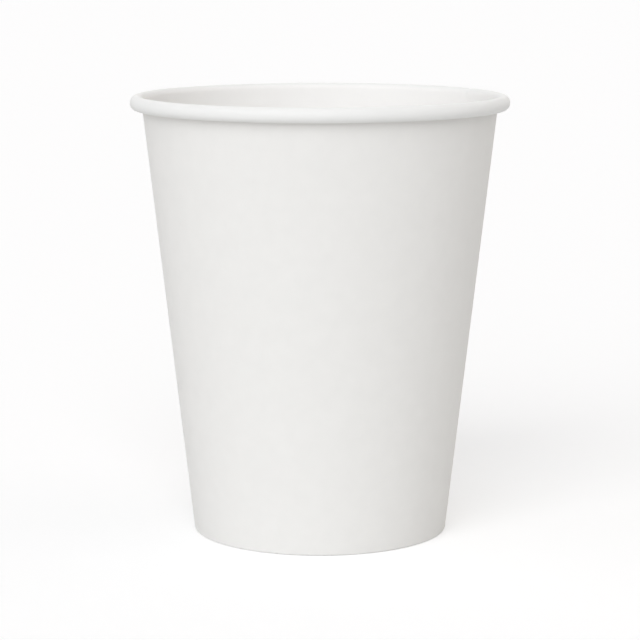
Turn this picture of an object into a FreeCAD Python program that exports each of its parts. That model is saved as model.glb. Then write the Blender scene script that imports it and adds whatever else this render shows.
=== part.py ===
import FreeCAD, Part
from enum import IntEnum
import math
import os
import Sketcher

# A single-wall paper cup for hot drinks, in millimetres, standing on Z = 0 with its axis on Z.
# Two pieces of coated board make it. The sidewall is one blank: it is wrapped into a cone and lapped
# along a straight side seam, its top edge is rolled outwards into the rim, and its bottom edge is folded
# in and up as a hem. The base disc is pressed to a shallow tray, turned over, and its skirt is held in
# the fold between the wall and the hem. The disc therefore sits clear of the table.

SIZES = (
    ("rim_diameter", 80.0, "across the outside of the rolled rim"),
    ("cup_height", 93.0, "from the table to the top of the rim"),
    ("base_diameter", 54.0, "across the wall's outer face where it meets the table"),
    ("wall_board", 0.33, "thickness of the sidewall's board"),
    ("disc_board", 0.28, "thickness of the base disc's board"),
    ("roll_width", 2.8, "width of the rolled rim"),
    ("roll_height", 3.2, "height of the rolled rim, which is a little oval"),
    ("roll_gap", 0.04, "gap that spring-back leaves between the turns of the roll"),
    ("roll_tuck", 30.0, "degrees that the free edge is tucked on past a full turn of the roll"),
    ("foot_recess", 7.0, "from the table up to the underside of the disc"),
    ("hem_height", 5.6, "from the table up to the free edge of the hem"),
    ("disc_bend", 0.4, "inside radius of the bend between the disc and its skirt"),
    ("skirt_clearance", 0.3, "from the bottom of the fold up to the skirt's edge"),
    ("seal_film", 0.02, "sealing film at each face of the skirt"),
    ("seam_lap", 7.0, "width of the lapped side seam"),
    ("seam_ramp", 2.4, "width over which the outer layer climbs onto the inner one"),
    ("seam_press", 0.04, "how far the hot clamp presses the two layers into each other"),
    ("seam_azimuth", 25.0, "degrees from +X round to the middle of the seam"),
)

# The lean of the wall follows from the sizes: its outer face meets the table at the base diameter, and
# its inner face, one board further in, runs straight up to where the roll begins.
ROLL_START_RADIUS = "(Sizes.rim_diameter / 2 - Sizes.roll_width)"
ROLL_MIDDLE_RADIUS = "((Sizes.rim_diameter - Sizes.roll_width) / 2)"
ROLL_LEVEL = "(Sizes.cup_height - Sizes.roll_height / 2)"
WALL_RUN = f"({ROLL_START_RADIUS} - Sizes.base_diameter / 2)"
WALL_LENGTH = f"sqrt({WALL_RUN} ^ 2 + {ROLL_LEVEL} ^ 2)"
LEAN = f"atan({WALL_RUN} / {ROLL_LEVEL}) + asin(Sizes.wall_board / {WALL_LENGTH})"

FOLD_FLOOR = "Sizes.wall_board"
LAP_TOP = "(Sizes.cup_height - Sizes.roll_height)"
SLOT_WIDTH = "(Sizes.disc_board + 2 * Sizes.seal_film)"
DISC_TOP = "(Sizes.foot_recess + Sizes.disc_board)"

# Round stretches of the half section are drawn as short chords, which keeps the rings they sweep simple.
ROLL_CHORDS = 12                      # chords in a full turn of the roll
BEND_CHORDS = 2                       # chords in the bend of the disc

FULL_TURN = 360.0


class Edge(IntEnum):
    """The sketch's own axes, by the numbers that a sketch gives them."""

    H_AXIS = -1
    V_AXIS = -2


class Point(IntEnum):
    """The points of a sketched edge, by the numbers that a sketch gives them."""

    START = 1
    END = 2
    CENTRE = 3


ORIGIN = (Edge.H_AXIS, Point.START)


def make_sheet(doc):
    """The driving dimensions, one to a row, each with its alias."""
    sheet = doc.addObject("Spreadsheet::Sheet", "Sizes")
    for row, (alias, value, meaning) in enumerate(SIZES, start=1):
        sheet.set(f"A{row}", meaning)
        sheet.set(f"B{row}", str(value))
        sheet.setAlias(f"B{row}", alias)
    doc.recompute()
    return sheet


def make_wall_values(doc):
    """The wall's lean, which every section of the cup follows."""
    wall = doc.addObject("App::VarSet", "Wall")
    wall.addProperty("App::PropertyAngle", "lean", "Wall", "Angle between the wall and the cup's axis")
    wall.setExpression("lean", LEAN)
    doc.recompute()
    return wall


def new_body(doc, name):
    body = doc.addObject("PartDesign::Body", name)
    body.Label = name
    return body


def new_sketch(body, name, plane_role):
    """A sketch on one of the body's own origin planes."""
    plane = next(p for p in body.Origin.OriginFeatures if p.Role == plane_role)
    sketch = body.newObject("Sketcher::SketchObject", name)
    sketch.AttachmentSupport = (plane, "")
    sketch.MapMode = "FlatFace"
    return sketch


def level_sketch(body, name, height):
    """A sketch on a level plane at a height above the table."""
    sketch = new_sketch(body, name, "XY_Plane")
    sketch.setExpression("AttachmentOffset.Base.z", height)
    return sketch


def number(sketch, expression):
    """What an expression comes to now, to draw an edge near its place."""
    value = sketch.evalExpression(expression)
    return float(getattr(value, "Value", value))


def fix(sketch, *constraint):
    return sketch.addConstraint(Sketcher.Constraint(*constraint))


def drive(sketch, name, expression, *constraint):
    """A named dimension whose value comes from the sizes."""
    index = fix(sketch, *constraint, number(sketch, expression))
    sketch.renameConstraint(index, name)
    sketch.setExpression(f"Constraints.{name}", expression)


def draw_outline(sketch, corners):
    """A closed outline of straight edges. A corner has a name and an expression for each coordinate."""
    places = [FreeCAD.Vector(number(sketch, x), number(sketch, y), 0) for _, x, y in corners]
    edges = []
    for start, end in zip(places, places[1:] + places[:1]):
        edges.append(sketch.addGeometry(Part.LineSegment(start, end)))
    for edge, following in zip(edges, edges[1:] + edges[:1]):
        fix(sketch, "Coincident", edge, Point.END, following, Point.START)
    for edge, (name, x, y) in zip(edges, corners):
        if x == "0":
            fix(sketch, "PointOnObject", edge, Point.START, Edge.V_AXIS)
        else:
            drive(sketch, f"{name}_x", x, "DistanceX", *ORIGIN, edge, Point.START)
        if y == "0":
            fix(sketch, "PointOnObject", edge, Point.START, Edge.H_AXIS)
        else:
            drive(sketch, f"{name}_y", y, "DistanceY", *ORIGIN, edge, Point.START)


def wall_radius(depth, height):
    """The radius at that height of the face that lies that deep under the wall's outer face."""
    return f"(Sizes.base_diameter / 2 + ({height}) * tan(Wall.lean) - ({depth}) / cos(Wall.lean))"


def wall_corner(name, depth, height):
    """A corner on that face of the wall, at that height."""
    return (name, wall_radius(depth, height), height)


def squared_corner(name, depth, height, board):
    """The corner across the board's cut edge from such a corner, one board further in."""
    x = f"{wall_radius(depth, height)} - {board} * cos(Wall.lean)"
    return (name, x, f"{height} + {board} * sin(Wall.lean)")


def turned_corner(name, centre, radius, angle):
    """A corner at a radius and an angle round a centre, which is a pair of expressions."""
    x, y = centre
    return (name, f"{x} + {radius} * cos({angle})", f"{y} + {radius} * sin({angle})")


def foot_corners():
    """The foot, from the wall's outside round both folds to the hem, and the slot between them.

    The outside of each fold is cut off by one straight facet, so that the board keeps its thickness
    round the crease.
    """
    hem_face = f"(Sizes.wall_board + {SLOT_WIDTH})"
    wall_crease = (wall_radius("Sizes.wall_board", FOLD_FLOOR), FOLD_FLOOR)
    hem_crease = (wall_radius(hem_face, FOLD_FLOOR), FOLD_FLOOR)
    wall_turn = "((90 deg - Wall.lean) / 4)"
    hem_turn = "((90 deg + Wall.lean) / 4)"
    wall_reach = f"Sizes.wall_board / cos({wall_turn})"
    hem_reach = f"Sizes.wall_board / cos({hem_turn})"
    foot_outside = turned_corner("foot_outside", wall_crease, wall_reach, f"-90 deg + {wall_turn}")
    foot_inside = turned_corner("foot_inside", hem_crease, hem_reach, f"-90 deg - {hem_turn}")
    on_table = "0"
    return [
        turned_corner("wall_bend", wall_crease, wall_reach, f"-Wall.lean - {wall_turn}"),
        (*foot_outside[:2], on_table),
        (*foot_inside[:2], on_table),
        turned_corner("hem_bend", hem_crease, hem_reach, f"-90 deg - 3 * {hem_turn}"),
        squared_corner("hem_inside", hem_face, "Sizes.hem_height", "Sizes.wall_board"),
        wall_corner("hem_outside", hem_face, "Sizes.hem_height"),
        wall_corner("slot_inside", hem_face, FOLD_FLOOR),
        wall_corner("slot_outside", "Sizes.wall_board", FOLD_FLOOR),
    ]


def roll_corners(face, offset):
    """The corners of one face of the rolled board, from where the wall runs into the roll to its edge.

    Over its lower half the roll draws in by one board and the gap, so that the board ends up inside its
    own first turn. offset is 0 for the coated face and the board's thickness for the other.
    """
    half_turn = ROLL_CHORDS // 2
    turned = [f"{FULL_TURN * step / ROLL_CHORDS:.6g} deg" for step in range(ROLL_CHORDS + 1)]
    turned.append(f"{turned[-1]} + Sizes.roll_tuck * 1 deg")
    corners = []
    for step, angle in enumerate(turned):
        drawn_in = min(max(step - half_turn, 0) / half_turn, 1)
        inset = f"({offset} + (Sizes.wall_board + Sizes.roll_gap) * {drawn_in:.6g})"
        x = f"{ROLL_MIDDLE_RADIUS} - (Sizes.roll_width / 2 - {inset}) * cos({angle})"
        y = f"{ROLL_LEVEL} + (Sizes.roll_height / 2 - {inset}) * sin({angle})"
        corners.append((f"{face}_{step}", x, y))
    return corners


def draw_board_section(body):
    """The board from the hem's free edge, round the foot and up the wall, to its edge in the roll."""
    sketch = new_sketch(body, "BoardSection", "XZ_Plane")
    coated = roll_corners("coated", "0")
    plain = roll_corners("plain", "Sizes.wall_board")
    wall_top = wall_corner("wall_top", "0", ROLL_LEVEL)
    draw_outline(sketch, [*foot_corners(), *coated, *reversed(plain[1:]), wall_top])
    return sketch


def revolve(doc, body, name, sketch):
    turned = body.newObject("PartDesign::Revolution", name)
    turned.Profile = sketch
    turned.ReferenceAxis = (sketch, ["V_Axis"])
    turned.Angle = FULL_TURN
    doc.recompute()
    return turned


def polar(radius, y):
    """The point at that radius from the axis and that far to one side of the seam's middle."""
    return FreeCAD.Vector(math.sqrt(radius * radius - y * y), y, 0)


def add_line(sketch, start, end):
    return sketch.addGeometry(Part.LineSegment(start, end))


def add_arc(sketch, start, end):
    """An arc round the cup's axis that runs anticlockwise between two points."""
    circle = Part.Circle(FreeCAD.Vector(0, 0, 0), FreeCAD.Vector(0, 0, 1), start.Length)
    angles = math.atan2(start.y, start.x), math.atan2(end.y, end.x)
    arc = sketch.addGeometry(Part.ArcOfCircle(circle, *angles))
    fix(sketch, "Coincident", arc, Point.CENTRE, *ORIGIN)
    return arc


def draw_seam_section(body, name, height, depth, edge_side):
    """The section at one height of what the seam adds outside or leaves open inside.

    It stands on the face of the wall at that depth, with the seam's middle on the X axis. From the cut
    edge, on edge_side of the middle, it is as thick as the board less what the clamp presses in, as far
    as the seam's other side. There it slopes down and ends pressed in. Its base lies half a board below
    the face, so that it and the wall cross cleanly.
    """
    sketch = level_sketch(body, name, height)
    face = wall_radius(depth, height)
    base = f"({face} - Sizes.wall_board / 2)"
    raised = f"({face} + Sizes.wall_board - Sizes.seam_press)"
    pressed = f"({face} - Sizes.seam_press)"
    half, ramp = "(Sizes.seam_lap / 2)", "Sizes.seam_ramp"
    edge_y, crest_y = edge_side * number(sketch, half), number(sketch, half)
    toe_y = number(sketch, f"{half} + {ramp}")

    edge_foot = polar(number(sketch, base), edge_y)
    edge_top = polar(number(sketch, raised), edge_y)
    crest = polar(number(sketch, raised), crest_y)
    toe, toe_base = polar(number(sketch, pressed), toe_y), polar(number(sketch, base), toe_y)
    cut_edge = add_line(sketch, edge_foot, edge_top)
    slope = add_line(sketch, crest, toe)
    toe_edge = add_line(sketch, toe, toe_base)
    under = add_arc(sketch, edge_foot, toe_base)
    if edge_side < 0:
        lap = add_arc(sketch, edge_top, crest)
        fix(sketch, "Coincident", cut_edge, Point.END, lap, Point.START)
        fix(sketch, "Coincident", lap, Point.END, slope, Point.START)
        drive(sketch, "half_lap", half, "DistanceY", cut_edge, Point.END, *ORIGIN)
        drive(sketch, "lap_radius", raised, "Radius", lap)
    else:
        fix(sketch, "Coincident", cut_edge, Point.END, slope, Point.START)
        drive(sketch, "edge_radius", raised, "Distance", *ORIGIN, slope, Point.START)
    fix(sketch, "Coincident", slope, Point.END, toe_edge, Point.START)
    fix(sketch, "Coincident", toe_edge, Point.END, under, Point.END)
    fix(sketch, "Coincident", under, Point.START, cut_edge, Point.START)
    fix(sketch, "Horizontal", cut_edge)
    fix(sketch, "Horizontal", toe_edge)
    drive(sketch, "base_radius", base, "Radius", under)
    drive(sketch, "toe_radius", pressed, "Distance", *ORIGIN, toe_edge, Point.START)
    drive(sketch, "crest", half, "DistanceY", *ORIGIN, slope, Point.START)
    drive(sketch, "ramp", ramp, "DistanceY", slope, Point.START, slope, Point.END)
    return sketch


def add_loft(doc, body, kind, name, sections):
    """A loft with straight sides between two sections."""
    loft = body.newObject(f"PartDesign::{kind}", name)
    loft.Profile = sections[0]
    loft.Sections = sections[1:]
    loft.Ruled = True
    doc.recompute()
    return loft


def make_sidewall(doc):
    """The wrapped board with its hem, its rolled rim and its side seam.

    Outside, the lap runs from the fold at the foot up into the roll, level with the roll's middle.
    Inside, the inner layer's cut edge shows from the disc up to just under the roll.
    """
    body = new_body(doc, "cup_sidewall")
    revolve(doc, body, "FoldedAndRolled", draw_board_section(body))
    outside, inside = "0", "Sizes.wall_board"
    add_loft(doc, body, "AdditiveLoft", "SeamLap", [
        draw_seam_section(body, "LapAtFoot", FOLD_FLOOR, outside, -1),
        draw_seam_section(body, "LapAtRim", ROLL_LEVEL, outside, -1),
    ])
    add_loft(doc, body, "SubtractiveLoft", "SeamHollow", [
        draw_seam_section(body, "HollowAtDisc", DISC_TOP, inside, 1),
        draw_seam_section(body, "HollowUnderRim", LAP_TOP, inside, 1),
    ])
    about_axis = FreeCAD.Rotation(FreeCAD.Vector(0, 0, 1), number(body, "Sizes.seam_azimuth"))
    body.Placement = FreeCAD.Placement(FreeCAD.Vector(0, 0, 0), about_axis)
    body.setExpression("Placement.Rotation.Angle", "Sizes.seam_azimuth * 1 deg")
    return body


def draw_disc_section(body):
    """The disc with its skirt turned down, from the axis out to the wall."""
    sketch = new_sketch(body, "DiscSection", "XZ_Plane")
    skirt_face = "(Sizes.wall_board + Sizes.seal_film)"
    skirt_foot = "(Sizes.wall_board + Sizes.skirt_clearance)"
    outer_radius = "(Sizes.disc_bend + Sizes.disc_board)"
    bend_level = f"({DISC_TOP} - {outer_radius})"
    bend = (wall_radius(f"{skirt_face} + {outer_radius}", bend_level), bend_level)
    angles = [f"(90 deg - (90 deg + Wall.lean) * {step / BEND_CHORDS:.6g})"
              for step in range(BEND_CHORDS + 1)]
    outer = [turned_corner(f"outer_bend_{step}", bend, outer_radius, angle)
             for step, angle in enumerate(angles)]
    inner = [turned_corner(f"inner_bend_{step}", bend, "Sizes.disc_bend", angle)
             for step, angle in enumerate(angles)]
    draw_outline(sketch, [
        ("top", "0", DISC_TOP),
        *outer,
        wall_corner("skirt_outside", skirt_face, skirt_foot),
        squared_corner("skirt_inside", skirt_face, skirt_foot, "Sizes.disc_board"),
        *reversed(inner),
        ("underside", "0", "Sizes.foot_recess"),
    ])
    return sketch


def make_disc(doc):
    """The base disc, a shallow tray turned over, whose skirt fills the fold of the sidewall."""
    body = new_body(doc, "cup_bottom")
    revolve(doc, body, "PressedDisc", draw_disc_section(body))
    return body


def check_document(doc, pieces):
    """Stops if anything failed to build, or if a piece isn't one sound solid."""
    for item in doc.Objects:
        if "Invalid" in item.State or "Error" in item.State:
            raise RuntimeError(f"{item.Name} failed: {item.State}")
    for piece in pieces:
        shape = piece.Shape
        if shape.isNull() or not shape.isValid():
            raise RuntimeError(f"{piece.Label} has no valid shape")
        if len(shape.Solids) != 1:
            raise RuntimeError(f"{piece.Label} is {len(shape.Solids)} solids")


def main():
    doc = FreeCAD.newDocument("PaperCup")
    make_sheet(doc)
    make_wall_values(doc)
    pieces = [make_sidewall(doc), make_disc(doc)]
    doc.recompute()
    check_document(doc, pieces)
    os.makedirs("parts", exist_ok=True)
    for piece in pieces:
        piece.Shape.exportStep(f"parts/{piece.Label}.step")
        box = piece.Shape.optimalBoundingBox()
        print(f"{piece.Label}: {piece.Shape.Volume:.1f} mm3, {box.XLength:.2f} x {box.YLength:.2f},",
              f"z {box.ZMin:.3f} to {box.ZMax:.3f}")


main()
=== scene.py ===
import math

import bmesh
import bpy
import numpy as np
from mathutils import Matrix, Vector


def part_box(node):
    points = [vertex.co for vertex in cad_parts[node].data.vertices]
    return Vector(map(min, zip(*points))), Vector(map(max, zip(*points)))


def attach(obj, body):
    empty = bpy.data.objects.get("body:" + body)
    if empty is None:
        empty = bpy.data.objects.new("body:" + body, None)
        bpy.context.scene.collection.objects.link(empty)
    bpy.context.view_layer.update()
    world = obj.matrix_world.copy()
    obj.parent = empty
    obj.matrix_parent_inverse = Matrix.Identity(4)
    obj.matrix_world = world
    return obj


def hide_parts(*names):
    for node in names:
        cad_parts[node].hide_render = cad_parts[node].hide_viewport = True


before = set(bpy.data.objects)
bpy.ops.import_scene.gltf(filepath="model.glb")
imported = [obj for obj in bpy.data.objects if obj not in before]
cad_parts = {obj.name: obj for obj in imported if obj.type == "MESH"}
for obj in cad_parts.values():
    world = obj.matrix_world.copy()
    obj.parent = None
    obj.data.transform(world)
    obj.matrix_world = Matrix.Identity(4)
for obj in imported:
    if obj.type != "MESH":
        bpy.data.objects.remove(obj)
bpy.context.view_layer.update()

bl_info = {
    "name": "Paper Cup",
    "version": (1, 0, 0),
    "blender": (4, 5, 0),
    "location": "View3D > Sidebar > Paper Cup",
    "description": "A single-wall paper cup: its wrapped and rolled sidewall, its base disc and a studio",
    "category": "Object",
}

# The cup is two pieces of paperboard, coated with polyethylene film on the side that meets the drink.
# The sidewall is modelled as the one sheet that it is: from the hem's free edge down round the foot, up
# the wall and round the rolled rim, and from one cut edge of the side seam right round to the other,
# which laps over it. Everything is in metres, on the same axes as the frame.

MM = 0.001
FULL_TURN = 2 * math.pi
SIDEWALL, BASE_DISC = "cup_sidewall", "cup_bottom"
SIDEWALL_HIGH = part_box(SIDEWALL)[1]
DISC_LOW, DISC_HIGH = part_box(BASE_DISC)


def linear(hex_colour):
    """The linear red, green, blue and alpha of an sRGB hex colour."""
    channels = [int(hex_colour[i:i + 2], 16) / 255 for i in (0, 2, 4)]
    return (*(c / 12.92 if c <= 0.04045 else ((c + 0.055) / 1.055) ** 2.4 for c in channels), 1.0)


def length(name, description, default):
    return bpy.props.FloatProperty(name=name, description=description, default=default, min=0.0,
                                   precision=5, subtype="DISTANCE", unit="LENGTH")


def angle(name, description, degrees):
    return bpy.props.FloatProperty(name=name, description=description, default=math.radians(degrees),
                                   subtype="ANGLE", unit="ROTATION")


def amount(name, description, default):
    return bpy.props.FloatProperty(name=name, description=description, default=default, min=0.0)


def colour(name, description, hex_colour):
    return bpy.props.FloatVectorProperty(name=name, description=description, size=4, min=0.0, max=1.0,
                                         default=linear(hex_colour), subtype="COLOR")


class BoardSizes(bpy.types.PropertyGroup):
    """The sizes of the two pieces of board."""

    rim_diameter: length("Rim diameter", "Across the outside of the rolled rim", 2 * SIDEWALL_HIGH.x)
    cup_height: length("Cup height", "From the table to the top of the rim", SIDEWALL_HIGH.z)
    base_diameter: length("Base diameter", "Across the wall, where its outer face meets the table", 54 * MM)
    wall_board: length("Wall board", "Thickness of the sidewall's board", 0.33 * MM)
    disc_board: length("Disc board", "Thickness of the base disc's board", 0.28 * MM)
    roll_width: length("Roll width", "Width of the rolled rim", 2.8 * MM)
    roll_height: length("Roll height", "Height of the rolled rim", 3.2 * MM)
    roll_gap: length("Roll gap", "Gap between the turns of the roll", 0.04 * MM)
    roll_tuck: angle("Roll tuck", "How far the free edge is tucked on past a full turn", 30)
    fold_radius: length("Fold radius", "Inside radius of the folds at the foot", 0.06 * MM)
    slot_width: length("Slot width", "Gap in the fold that holds the disc's skirt", 0.32 * MM)
    hem_height: length("Hem height", "From the table up to the free edge of the hem", 5.6 * MM)
    disc_top: length("Disc top", "From the table up to the coated face of the disc", DISC_HIGH.z)
    disc_bend: length("Disc bend", "Inside radius of the bend between disc and skirt", 0.4 * MM)
    disc_bow: length("Disc bow", "How far the middle of the disc sags", 0.12 * MM)
    skirt_foot: length("Skirt foot", "From the table up to the skirt's free edge", DISC_LOW.z)
    seal_film: length("Seal film", "Sealing film at each face of the skirt", 0.02 * MM)
    knurl_pitch: length("Knurl pitch", "Spacing of the ridges that the hem was pressed with", 2.0 * MM)
    knurl_depth: length("Knurl depth", "How deep the knurling is pressed into the hem", 0.11 * MM)
    out_of_round: length("Out of round", "How far the rim is drawn in across its narrow way", 0.16 * MM)


class SeamSizes(bpy.types.PropertyGroup):
    """The lapped side seam."""

    lap: length("Lap", "Width over which the two ends of the board overlap", 7.0 * MM)
    ramp: length("Ramp", "Width over which the outer layer climbs onto the inner one", 2.4 * MM)
    press: length("Press", "How much thinner the hot clamp leaves the two layers together", 0.04 * MM)
    bond: length("Bond", "Film between the two layers", 0.004 * MM)
    azimuth: angle("Azimuth", "From +X round to the middle of the seam", 25)


class BoardFinish(bpy.types.PropertyGroup):
    """The colours of the board."""

    plain_face: colour("Plain face", "Bleached, calendered board", "F3F2EF")
    coated_face: colour("Coated face", "Polyethylene film over the same board", "FAF9F7")
    # Painted shade: a greyer copy of the film's colour for the rolled rim, which catches the most light
    # from above.
    rim_painted_shade: colour("Curled face", "The same film, drawn tight round the rolled rim", "F3F3F1")
    cut_edge: colour("Cut edge", "The board's core, where the die cut it", "E6E4DE")


class Studio(bpy.types.PropertyGroup):
    """Where the camera stands, and the light."""

    camera_distance: length("Camera distance", "From the cup's axis to the camera", 522.8 * MM)
    camera_height: length("Camera height", "From the table up to the camera", 128.5 * MM)
    camera_tilt: angle("Camera tilt", "How far the camera looks down", 9.09)
    focal_length: bpy.props.FloatProperty(name="Focal length", description="Of the camera's lens",
                                          default=139.4, subtype="DISTANCE_CAMERA", unit="CAMERA")
    front_strength: amount("Front strength", "Irradiance of the soft light in front", 1.70)
    front_azimuth: angle("Front azimuth", "From the camera round to the front light, to the left", 16)
    front_elevation: angle("Front elevation", "Of the middle of the front light", 30)
    front_spread: angle("Front spread", "Across the front light, as the cup sees it", 55)
    front_colour: colour("Front colour", "Daylight through a white diffuser", "FCFDFF")
    left_strength: amount("Left strength", "Irradiance of the soft light at the left", 0.30)
    left_azimuth: angle("Left azimuth", "From the camera round to the left light, to the left", 90)
    left_elevation: angle("Left elevation", "Of the middle of the left light", 20)
    left_spread: angle("Left spread", "Across the left light, as the cup sees it", 60)
    left_colour: colour("Left colour", "Daylight through a white diffuser", "FCFDFF")
    right_strength: amount("Right strength", "Irradiance of the soft light at the right", 0.11)
    right_azimuth: angle("Right azimuth", "From the camera round to the right light, to the left", -90)
    right_elevation: angle("Right elevation", "Of the middle of the right light", 20)
    right_spread: angle("Right spread", "Across the right light, as the cup sees it", 60)
    right_colour: colour("Right colour", "Light off pale, slightly warm walls", "FFF8EF")
    back_strength: amount("Back strength", "Irradiance of the soft light behind", 0.60)
    back_azimuth: angle("Back azimuth", "From the camera round to the back light, to the left", -130)
    back_elevation: angle("Back elevation", "Of the middle of the back light", 30)
    back_spread: angle("Back spread", "Across the back light, as the cup sees it", 120)
    back_colour: colour("Back colour", "Light off pale, slightly warm walls", "FFF8EF")
    top_strength: amount("Top strength", "Irradiance of the wide soft light overhead", 1.13)
    top_azimuth: angle("Top azimuth", "From the camera round to the top light, to the left", 0)
    top_elevation: angle("Top elevation", "Of the middle of the top light", 90)
    top_spread: angle("Top spread", "Across the top light, as the cup sees it", 150)
    top_colour: colour("Top colour", "Daylight through a white diffuser", "FDFDFF")
    fill_strength: amount("Fill strength", "Radiance of the fill", 0.085)
    fill_colour: colour("Fill colour", "Light off pale walls", "FFFDFA")
    floor_colour: colour("Floor colour", "Matt white paper", "E6E6E6")
    floor_lift: amount("Floor lift", "How much brighter than its own light the floor is seen", 0.31)
    floor_radius: length("Floor radius", "How far the floor reaches", 12.0)


def board_sizes():
    return bpy.context.scene.paper_cup_board


def seam_sizes():
    return bpy.context.scene.paper_cup_seam


def smooth_step(value):
    """From 0 to 1, level at both ends."""
    share = np.clip(value, 0, 1)
    return share * share * (3 - 2 * share)


def wall_lean(board):
    """The angle between the wall and the cup's axis.

    The outer face meets the table at the base diameter, and the inner face runs up to where the roll
    begins.
    """
    run = board.rim_diameter / 2 - board.roll_width - board.base_diameter / 2
    level = board.cup_height - board.roll_height / 2
    return math.atan2(run, level) + math.asin(board.wall_board / math.hypot(run, level))


def wall_radius(board, depth, height):
    """The radius of the face that lies that deep under the wall's outer face, at that height."""
    lean = wall_lean(board)
    return board.base_diameter / 2 + height * math.tan(lean) - depth / math.cos(lean)


def along(start, end, count):
    """Points from start up to but not including end."""
    share = np.linspace(0, 1, count, endpoint=False)[:, None]
    return np.array(start) * (1 - share) + np.array(end) * share


def fold(centre, radius, start, end, count):
    """A bend's coated face, between two headings, with the board turning to the left."""
    heading = np.linspace(start, end, count, endpoint=False)
    points = np.array(centre) + radius * np.stack([np.sin(heading), -np.cos(heading)], 1)
    return points, heading


# How many points each stretch of the section has, from the hem's free edge to the roll's.
HEM_POINTS = 14
FOLD_POINTS = 6
FLOOR_POINTS = 2
WALL_POINTS = 12
ROLL_POINTS = 44


def board_section(board, seam, over, under):
    """The coated face of the board and its heading, in the half plane of radius and height.

    over is 1 where this is the seam's outer layer, under is 1 where it is the inner one, and both are 0
    away from the seam. The outer layer stands off the wall and the hem by the inner one's thickness, and
    under the foot it is the inner layer that is lifted, because the cup stands flat on the outer one.
    """
    lean = wall_lean(board)
    thickness = board_thickness(board, seam, max(over, under))
    layer = board_thickness(board, seam, 1) + seam.bond
    wall_depth = board.wall_board - over * layer
    hem_depth = board.wall_board + board.slot_width + over * layer
    radius = board.fold_radius + over * layer
    floor = thickness + under * layer

    down, out, up = -math.pi / 2 - lean, 0.0, math.pi / 2 - lean
    level = floor + radius
    hem_centre = (wall_radius(board, hem_depth - radius, level), level)
    wall_centre = (wall_radius(board, wall_depth + radius, level), level)
    hem_fold, hem_headings = fold(hem_centre, radius, down, out, FOLD_POINTS)
    wall_fold, wall_headings = fold(wall_centre, radius, out, up, FOLD_POINTS)
    hem_top = (wall_radius(board, hem_depth, board.hem_height), board.hem_height)
    hem = along(hem_top, hem_fold[0], HEM_POINTS)
    floor_start = (hem_centre[0], floor)
    slot_floor = along(floor_start, wall_fold[0], FLOOR_POINTS)

    roll, roll_headings = roll_section(board, over * layer, max(over, under) * layer)
    wall_foot = np.array(wall_centre) + radius * np.array([math.sin(up), -math.cos(up)])
    wall = along(wall_foot, roll[0], WALL_POINTS)
    points = np.concatenate([hem, hem_fold, slot_floor, wall_fold, wall, roll])
    headings = np.concatenate([
        np.full(HEM_POINTS, down), hem_headings, np.full(FLOOR_POINTS, out), wall_headings,
        np.full(WALL_POINTS, up), roll_headings,
    ])
    return points, headings


def roll_section(board, inset, tucked):
    """The coated face of the rolled rim and its heading, from the wall round to the free edge.

    It starts where an oval of the roll's size runs along the wall. Over the lower half it is drawn in by
    one board and a gap, and by one more layer at the seam, so that the free edge ends up inside.
    """
    half_width = board.roll_width / 2 - inset
    half_height = board.roll_height / 2 - inset
    start = math.atan(math.tan(wall_lean(board)) * half_height / half_width)
    turned = np.linspace(start, FULL_TURN + board.roll_tuck, ROLL_POINTS)
    drawn_in = (board.wall_board + board.roll_gap + tucked) * smooth_step(turned / math.pi - 1)
    middle = board.rim_diameter / 2 - board.roll_width / 2
    level = board.cup_height - board.roll_height / 2
    radius = middle - (half_width - drawn_in) * np.cos(turned)
    height = level + (half_height - drawn_in) * np.sin(turned)
    heading = np.arctan2(np.gradient(height, turned), np.gradient(radius, turned))
    return np.stack([radius, height], 1), heading


def board_thickness(board, seam, lapped):
    """The thickness of one layer, which the clamp leaves a little thinner where two are lapped."""
    return board.wall_board - lapped * seam.press / 2


# Columns of points round the cup, in each stretch of the blank from the seam's inner edge to its outer.
LAP_COLUMNS = 12
RAMP_COLUMNS = 8
ROUND_COLUMNS = 510


def blank_columns(seam):
    """Each column of the blank: where it lies, and how far it is the seam's outer or inner layer.

    Near the seam a column lies a set distance to one side of the seam's middle, so that the cut edges run
    straight up the cup, and elsewhere it lies at a share of the way round. A column is that distance,
    that share (or None), over and under.
    """
    half = seam.lap / 2
    toe = half + seam.ramp
    columns = [(y, None, 0.0, 1.0) for y in np.linspace(half, -half, LAP_COLUMNS)]
    ramp = np.linspace(0, 1, RAMP_COLUMNS + 1)[1:]
    columns += [(-half - seam.ramp * s, None, 0.0, 1 - smooth_step(s)) for s in ramp]
    columns += [(toe, share, 0.0, 0.0) for share in np.linspace(0, 1, ROUND_COLUMNS)[1:]]
    columns += [(toe - seam.ramp * s, 1.0, smooth_step(s), 0.0) for s in ramp]
    columns += [(y, 1.0, 1.0, 0.0) for y in np.linspace(half, -half, LAP_COLUMNS)[1:]]
    return columns


def column_angles(column, radius):
    """How far round the cup from the seam's middle a column lies at each radius, going backwards."""
    y, share = column[:2]
    side = np.arcsin(y / radius)
    if share is None:
        return side
    if share == 1.0:
        return side - FULL_TURN
    return -side - share * (FULL_TURN - 2 * side)


# The rim is widest this far round from +X, and dips in this many places.
WIDE_WAY = math.radians(20)
DIPS, DIPS_START = 3, 1.0


def settled(board, points):
    """Points moved by what handling does to the cup: its rim is a little oval and dips a little."""
    x, y, z = points[..., 0], points[..., 1], points[..., 2]
    azimuth = np.arctan2(y, x)
    risen = np.clip(z / board.cup_height, 0, 1) ** 2
    narrow = (1 - np.cos(2 * (azimuth - WIDE_WAY))) / 2
    share = 1 - risen * narrow * board.out_of_round / np.hypot(x, y)
    dip = risen * (1 + np.sin(DIPS * azimuth + DIPS_START)) / 2 * board.out_of_round / 4
    return np.stack([x * share, y * share, z - dip], -1)


def round_the_cup(points, azimuths):
    """Points in the half plane, each turned to its azimuth."""
    radius, height = points[:, 0], points[:, 1]
    return np.stack([radius * np.cos(azimuths), radius * np.sin(azimuths), height], 1)


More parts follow.
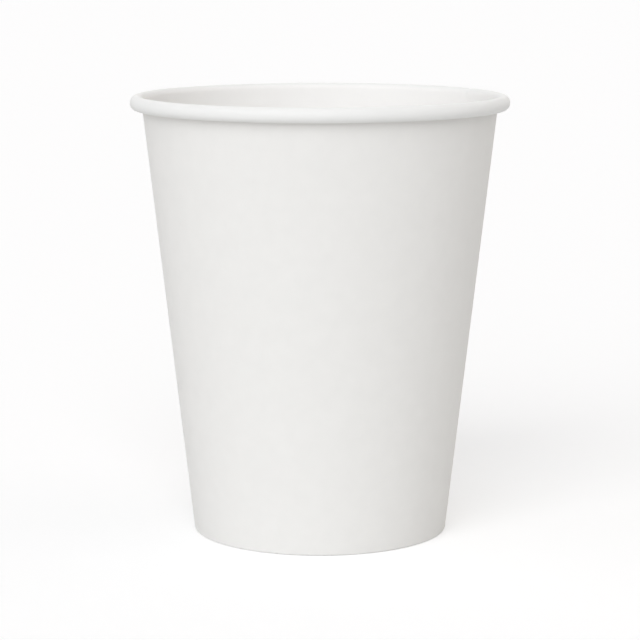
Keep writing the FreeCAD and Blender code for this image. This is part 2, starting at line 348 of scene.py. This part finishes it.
def knurl(board, height, azimuth):
    """How deep the knurling wheel pressed the hem's plain face in there."""
    ridges = round(math.pi * board.base_diameter / board.knurl_pitch)
    margin = board.hem_height / 8
    rising = smooth_step((height - 2 * margin) / margin)
    falling = smooth_step((board.hem_height - margin - height) / margin)
    return board.knurl_depth * rising * falling * (1 - np.cos(ridges * azimuth)) / 2


def sidewall_faces(board, seam):
    """The coated and the plain face of the blank, as grids of points: a column, then the section."""
    coated_face, plain_face = [], []
    for column in blank_columns(seam):
        over, under = column[2:]
        points, headings = board_section(board, seam, over, under)
        azimuths = seam.azimuth + column_angles(column, points[:, 0])
        thickness = np.full(len(points), board_thickness(board, seam, max(over, under)))
        hem = slice(0, HEM_POINTS)
        thickness[hem] -= knurl(board, points[hem, 1], azimuths[hem])
        away = np.stack([np.sin(headings), -np.cos(headings)], 1)
        coated_face.append(round_the_cup(points, azimuths))
        plain_face.append(round_the_cup(points + away * thickness[:, None], azimuths))
    return settled(board, np.array(coated_face)), settled(board, np.array(plain_face))


def grid_quads(columns, rows, first, wrapped):
    """The faces of a grid of points, where the last column may meet the first."""
    quads = []
    for c in range(columns if wrapped else columns - 1):
        here, there = first + c * rows, first + (c + 1) % columns * rows
        quads += [(here + r, there + r, there + r + 1, here + r + 1) for r in range(rows - 1)]
    return quads


COATED, PLAIN, CUT = range(3)


def board_mesh(name, coated, plain, wrapped):
    """A closed sheet of board from its two faces, with its cut edges between them.

    A wrapped sheet has no ends, and its first row is drawn together into a middle point.
    """
    columns, rows = coated.shape[:2]
    count = columns * rows
    vertices = np.concatenate([coated.reshape(-1, 3), plain.reshape(-1, 3)])
    first_row = [c * rows for c in range(columns)]
    last_row = [c * rows + rows - 1 for c in range(columns)]

    def edge(path):
        return [(a, b, b + count, a + count) for a, b in zip(path, path[1:])]

    faces = {
        COATED: grid_quads(columns, rows, 0, wrapped),
        PLAIN: [quad[::-1] for quad in grid_quads(columns, rows, count, wrapped)],
    }
    if wrapped:
        middles = np.stack([coated[:, 0].mean(0), plain[:, 0].mean(0)])
        vertices = np.concatenate([vertices, middles])
        for side, kind in enumerate((COATED, PLAIN)):
            middle = 2 * count + side
            ring = [v + side * count for v in first_row + first_row[:1]]
            faces[kind] += [(middle, b, a) for a, b in zip(ring, ring[1:])]
        faces[CUT] = edge(last_row + last_row[:1])
    else:
        first_column, last_column = list(range(rows)), list(range(count - rows, count))
        faces[CUT] = edge(first_row) + edge(last_row) + edge(first_column) + edge(last_column)

    mesh = bpy.data.meshes.new(name)
    mesh.from_pydata(vertices.tolist(), [], sum(faces.values(), []))
    mesh.polygons.foreach_set("material_index", [kind for kind in faces for _ in faces[kind]])
    return mesh


# Cut edges stay crisp, and the folds and the roll, which turn less from face to face, are shaded smooth.
SHARP_ANGLE = math.radians(40)


def finish_piece(name, mesh, replaced):
    """Puts a mesh of board in the scene, with its materials, on the body and in its node's place."""
    turned = bmesh.new()
    turned.from_mesh(mesh)
    bmesh.ops.recalc_face_normals(turned, faces=turned.faces)
    turned.to_mesh(mesh)
    turned.free()
    mesh.polygons.foreach_set("use_smooth", [True] * len(mesh.polygons))
    mesh.set_sharp_from_angle(angle=SHARP_ANGLE)
    for material in board_materials():
        mesh.materials.append(material)
    piece = bpy.data.objects.new(name, mesh)
    bpy.context.scene.collection.objects.link(piece)
    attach(piece, "root")
    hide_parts(replaced)


# The points of the disc's section in its flat, its bend and its skirt, and the columns round the cup.
DISC_RINGS = 24
BEND_POINTS = 10
SKIRT_POINTS = 6
DISC_COLUMNS = 240


def disc_faces(board):
    """The coated and the plain face of the base disc, as grids of points: a column, then the section."""
    lean = wall_lean(board)
    skirt_depth = board.wall_board + board.seal_film
    outer = board.disc_bend + board.disc_board
    level = board.disc_top - outer
    middle = (wall_radius(board, skirt_depth + outer, level), level)
    flat = along((middle[0] / DISC_RINGS, board.disc_top), (middle[0], board.disc_top), DISC_RINGS)
    turned = np.linspace(0, math.pi / 2 + lean, BEND_POINTS)
    away = np.stack([np.sin(turned), np.cos(turned)], 1)
    bend = np.array(middle) + outer * away
    skirt_end = (wall_radius(board, skirt_depth, board.skirt_foot), board.skirt_foot)
    skirt = along(bend[-1], skirt_end, SKIRT_POINTS)[1:]
    coated = np.concatenate([flat, bend, skirt, [skirt_end]])
    outwards = np.concatenate([
        np.tile([0.0, 1.0], (DISC_RINGS, 1)), away, np.tile(away[-1], (SKIRT_POINTS, 1)),
    ])
    plain = coated - outwards * board.disc_board
    azimuths = np.linspace(0, FULL_TURN, DISC_COLUMNS, endpoint=False)
    faces = []
    for section in (coated, plain):
        bowed = section.copy()
        bowed[:, 1] -= board.disc_bow * (1 - smooth_step(section[:, 0] / middle[0]))
        faces.append(np.array([round_the_cup(bowed, np.full(len(bowed), a)) for a in azimuths]))
    return faces


def add_node(tree, kind, values=(), links=(), **settings):
    """One node, with its settings, its sockets' values and the sockets that feed it."""
    node = tree.nodes.new(kind)
    for name, value in settings.items():
        setattr(node, name, value)
    for socket, value in dict(values).items():
        node.inputs[socket].default_value = value
    for socket, source in dict(links).items():
        tree.links.new(source, node.inputs[socket])
    return node


def new_material(name):
    """A material whose nodes are still to be added."""
    material = bpy.data.materials.new(name)
    material.use_nodes = True
    material.node_tree.nodes.clear()
    return material


def board_materials():
    """The materials of a sheet of board, in the order of COATED, PLAIN and CUT."""
    surfaces = {
        "polyethylene_film_extruded": film_on_board,
        "bleached_board_calendered": calendered_board,
        "board_core_die_cut": die_cut_edge,
    }
    finish = bpy.context.scene.paper_cup_finish
    for name, surface in surfaces.items():
        if name not in bpy.data.materials:
            tree = new_material(name).node_tree
            place = add_node(tree, "ShaderNodeTexCoord").outputs["Object"]
            shader = surface(tree, place, finish)
            add_node(tree, "ShaderNodeOutputMaterial", (), {"Surface": shader.outputs["BSDF"]})
    return [bpy.data.materials[name] for name in surfaces]


def per_size(size):
    """The scale of a noise whose cells are that wide, in coordinates of metres."""
    return 1 / size


def darker(tint, share):
    """A colour with that share of its light."""
    return (*(channel * share for channel in tint[:3]), 1.0)


def film_on_board(tree, place, finish):
    """Polyethylene film, extruded onto the board's inner face.

    It is satin, and the board's unevenness shows through it as a fine orange peel. Over the top and the
    outside of the rolled rim its colour is painted a little greyer: painted shade, which holds the rim down
    where it catches the most light.
    """
    peel_size, peel_height = 0.7 * MM, 0.06 * MM
    cloud_size, thin_share = 4.0 * MM, 0.975
    board = board_sizes()
    # Painted shade: outwards from where the roll begins, the film's colour is mixed towards a greyer one.
    rim_shade_start = board.rim_diameter / 2 - board.roll_width
    rim_shade_end = rim_shade_start + board.roll_width / 5

    outwards = add_node(tree, "ShaderNodeVectorMath", {1: (1, 1, 0)}, {0: place}, operation="MULTIPLY")
    radius = add_node(tree, "ShaderNodeVectorMath", (), {0: outwards.outputs["Vector"]},
                      operation="LENGTH")
    rim_shade_mask = add_node(tree, "ShaderNodeMapRange", {"From Min": rim_shade_start, "From Max": rim_shade_end},
                      {"Value": radius.outputs["Value"]}, interpolation_type="SMOOTHSTEP")
    film = add_node(tree, "ShaderNodeMix",
                    {"A": tuple(finish.coated_face), "B": tuple(finish.rim_painted_shade)},
                    {"Factor": rim_shade_mask.outputs["Result"]}, data_type="RGBA")
    cloud = add_node(tree, "ShaderNodeTexNoise", {"Scale": per_size(cloud_size), "Detail": 2.0},
                     {"Vector": place})
    shade = add_node(tree, "ShaderNodeMapRange", {"To Min": thin_share, "To Max": 1.0},
                     {"Value": cloud.outputs["Fac"]})
    tint = add_node(tree, "ShaderNodeVectorMath", (),
                    {0: film.outputs["Result"], "Scale": shade.outputs["Result"]}, operation="SCALE")
    satin = add_node(tree, "ShaderNodeMapRange", {"To Min": 0.45, "To Max": 0.6},
                     {"Value": cloud.outputs["Fac"]})
    peel = add_node(tree, "ShaderNodeTexNoise", {"Scale": per_size(peel_size), "Detail": 2.0},
                    {"Vector": place})
    bump = add_node(tree, "ShaderNodeBump", {"Strength": 0.35, "Distance": peel_height},
                    {"Height": peel.outputs["Fac"]})
    return add_node(tree, "ShaderNodeBsdfPrincipled", {"IOR": 1.51, "Specular IOR Level": 0.2},
                    {"Base Color": tint.outputs["Vector"], "Roughness": satin.outputs["Result"],
                     "Normal": bump.outputs["Normal"]})


def calendered_board(tree, place, finish):
    """Bleached paperboard, pressed smooth between steel rolls but not coated.

    It is matt, with a faint cloudiness where the fibres lie thicker, and a tooth that runs with the grain,
    up the cup. Fibres are 0.03 mm wide, too fine to show, so the tooth is drawn at 0.4 mm.
    """
    cloud_size, thin_share = 3.5 * MM, 0.96
    tooth_width, tooth_length, tooth_height = 0.4 * MM, 1.6 * MM, 0.04 * MM

    cloud = add_node(tree, "ShaderNodeTexNoise", {"Scale": per_size(cloud_size), "Detail": 2.0},
                     {"Vector": place})
    thick = tuple(finish.plain_face)
    tint = add_node(tree, "ShaderNodeMix", {"A": darker(thick, thin_share), "B": thick},
                    {"Factor": cloud.outputs["Fac"]}, data_type="RGBA")
    grain = add_node(tree, "ShaderNodeMapping", {"Scale": (1, 1, tooth_width / tooth_length)},
                     {"Vector": place})
    tooth = add_node(tree, "ShaderNodeTexNoise", {"Scale": per_size(tooth_width), "Detail": 3.0},
                     {"Vector": grain.outputs["Vector"]})
    matt = add_node(tree, "ShaderNodeMapRange", {"To Min": 0.55, "To Max": 0.75},
                    {"Value": tooth.outputs["Fac"]})
    bump = add_node(tree, "ShaderNodeBump", {"Strength": 0.5, "Distance": tooth_height},
                    {"Height": tooth.outputs["Fac"]})
    return add_node(tree, "ShaderNodeBsdfPrincipled", {"IOR": 1.5, "Specular IOR Level": 0.15},
                    {"Base Color": tint.outputs["Result"], "Roughness": matt.outputs["Result"],
                     "Normal": bump.outputs["Normal"]})


def die_cut_edge(tree, place, finish):
    """The board's core, where the blank was die cut: rough, a little creamier, with loose fibre ends.

    The ends are 0.03 mm across, too fine to show, so they are drawn at 0.12 mm.
    """
    fibre_size, fibre_height, between_share = 0.12 * MM, 0.05 * MM, 0.88

    fibres = add_node(tree, "ShaderNodeTexNoise", {"Scale": per_size(fibre_size), "Detail": 3.0},
                      {"Vector": place})
    ends = tuple(finish.cut_edge)
    tint = add_node(tree, "ShaderNodeMix", {"A": darker(ends, between_share), "B": ends},
                    {"Factor": fibres.outputs["Fac"]}, data_type="RGBA")
    bump = add_node(tree, "ShaderNodeBump", {"Strength": 0.6, "Distance": fibre_height},
                    {"Height": fibres.outputs["Fac"]})
    return add_node(tree, "ShaderNodeBsdfPrincipled", {"Roughness": 0.95, "IOR": 1.5},
                    {"Base Color": tint.outputs["Result"], "Normal": bump.outputs["Normal"]})


class PAPERCUP_OT_sidewall(bpy.types.Operator):
    """Build the wrapped, lapped and rolled sidewall"""

    bl_idname = "papercup.sidewall"
    bl_label = "Sidewall"

    def execute(self, context):
        board, seam = board_sizes(), seam_sizes()
        coated, plain = sidewall_faces(board, seam)
        mesh = board_mesh("sidewall", coated, plain, wrapped=False)
        finish_piece("sidewall", mesh, SIDEWALL)
        return {"FINISHED"}


class PAPERCUP_OT_base_disc(bpy.types.Operator):
    """Build the base disc with its turned-down skirt"""

    bl_idname = "papercup.base_disc"
    bl_label = "Base Disc"

    def execute(self, context):
        coated, plain = disc_faces(board_sizes())
        mesh = board_mesh("base_disc", coated, plain, wrapped=True)
        finish_piece("base_disc", mesh, BASE_DISC)
        return {"FINISHED"}


def seen_directly(tree):
    """1 for a ray from the camera or one that gloss or glass sends on, and 0 for the light that falls."""
    path = add_node(tree, "ShaderNodeLightPath").outputs
    seen = add_node(tree, "ShaderNodeMath", (), {0: path["Is Camera Ray"], 1: path["Is Glossy Ray"]},
                    operation="MAXIMUM")
    either = add_node(tree, "ShaderNodeMath", (), {0: seen.outputs[0], 1: path["Is Transmission Ray"]},
                      operation="MAXIMUM")
    return either.outputs[0]


FLOOR_CORNERS = 64


def studio_floor(studio):
    """A level floor with the cup's soft shadow on it, which its own glow lifts to white for the camera."""
    material = new_material("seamless_paper_matt")
    tree = material.node_tree
    matt = add_node(tree, "ShaderNodeBsdfDiffuse", {"Color": tuple(studio.floor_colour)})
    lift = add_node(tree, "ShaderNodeMath", {1: studio.floor_lift}, {0: seen_directly(tree)},
                    operation="MULTIPLY")
    glow = add_node(tree, "ShaderNodeEmission", (), {"Strength": lift.outputs[0]})
    both = add_node(tree, "ShaderNodeAddShader", (),
                    {0: matt.outputs["BSDF"], 1: glow.outputs["Emission"]})
    add_node(tree, "ShaderNodeOutputMaterial", (), {"Surface": both.outputs["Shader"]})

    mesh = bpy.data.meshes.new("floor")
    reach = studio.floor_radius
    corners = [(reach * math.cos(a), reach * math.sin(a), 0.0)
               for a in np.linspace(0, FULL_TURN, FLOOR_CORNERS, endpoint=False)]
    mesh.from_pydata(corners, [], [tuple(range(FLOOR_CORNERS))])
    mesh.materials.append(material)
    floor = bpy.data.objects.new("floor", mesh)
    bpy.context.scene.collection.objects.link(floor)


def soft_lamp(studio, name):
    """A broad soft light far away, shining towards the cup."""
    strength, azimuth, elevation, spread, tint = (
        getattr(studio, f"{name}_{part}")
        for part in ("strength", "azimuth", "elevation", "spread", "colour"))
    lamp = bpy.data.lights.new(name, "SUN")
    lamp.energy = strength
    lamp.angle = spread
    lamp.color = tuple(tint)[:3]
    holder = bpy.data.objects.new(name, lamp)
    holder.rotation_euler = (math.pi / 2 - elevation, 0, -azimuth)
    bpy.context.scene.collection.objects.link(holder)


def studio_light(studio):
    """Five soft lights round the cup, and an even fill that is seen as white."""
    for name in ("front", "left", "right", "back", "top"):
        soft_lamp(studio, name)

    world = bpy.data.worlds.new("studio")
    bpy.context.scene.world = world
    world.use_nodes = True
    tree = world.node_tree
    tree.nodes.clear()
    seen = seen_directly(tree)
    fill = add_node(tree, "ShaderNodeBackground",
                    {"Color": tuple(studio.fill_colour), "Strength": studio.fill_strength})
    white = add_node(tree, "ShaderNodeBackground", {"Color": (1, 1, 1, 1), "Strength": 1.0})
    either = add_node(tree, "ShaderNodeMixShader", (),
                      {"Fac": seen, 1: fill.outputs["Background"], 2: white.outputs["Background"]})
    add_node(tree, "ShaderNodeOutputWorld", (), {"Surface": either.outputs["Shader"]})


SENSOR_WIDTH = 36.0
NEAREST_SEEN = 10 * MM


def studio_camera(studio):
    """The camera in front of the cup, looking a little down."""
    camera = bpy.data.cameras.new("camera")
    camera.lens = studio.focal_length
    camera.sensor_width = SENSOR_WIDTH
    camera.clip_start = NEAREST_SEEN
    camera.clip_end = 2 * studio.floor_radius
    holder = bpy.data.objects.new("camera", camera)
    holder.location = (0, -studio.camera_distance, studio.camera_height)
    holder.rotation_euler = (math.pi / 2 - studio.camera_tilt, 0, 0)
    bpy.context.scene.collection.objects.link(holder)
    bpy.context.scene.camera = holder


class PAPERCUP_OT_stage(bpy.types.Operator):
    """Set up the floor, the light and the camera"""

    bl_idname = "papercup.stage"
    bl_label = "Stage"

    def execute(self, context):
        studio = context.scene.paper_cup_studio
        studio_floor(studio)
        studio_light(studio)
        studio_camera(studio)
        context.scene.view_settings.view_transform = "Standard"
        return {"FINISHED"}


class PAPERCUP_PT_panel(bpy.types.Panel):
    """The cup's pieces and the stage, in the order in which they are built, and what can be changed"""

    bl_idname = "PAPERCUP_PT_panel"
    bl_label = "Paper Cup"
    bl_space_type = "VIEW_3D"
    bl_region_type = "UI"
    bl_category = "Paper Cup"

    def draw(self, context):
        for operator in OPERATORS:
            self.layout.operator(operator.bl_idname)
        for group, name in GROUPS.items():
            box = self.layout.box()
            box.label(text=group.__doc__)
            for prop in group.__annotations__:
                box.prop(getattr(context.scene, name), prop)


GROUPS = {
    BoardSizes: "paper_cup_board",
    SeamSizes: "paper_cup_seam",
    BoardFinish: "paper_cup_finish",
    Studio: "paper_cup_studio",
}
OPERATORS = (PAPERCUP_OT_sidewall, PAPERCUP_OT_base_disc, PAPERCUP_OT_stage)
CLASSES = (*GROUPS, *OPERATORS, PAPERCUP_PT_panel)


def register():
    for cls in CLASSES:
        bpy.utils.register_class(cls)
    for group, name in GROUPS.items():
        setattr(bpy.types.Scene, name, bpy.props.PointerProperty(type=group))


def unregister():
    for name in GROUPS.values():
        delattr(bpy.types.Scene, name)
    for cls in reversed(CLASSES):
        bpy.utils.unregister_class(cls)


def main():
    register()
    bpy.ops.papercup.sidewall()
    bpy.ops.papercup.base_disc()
    bpy.ops.papercup.stage()


if __name__ == "__main__":
    main()
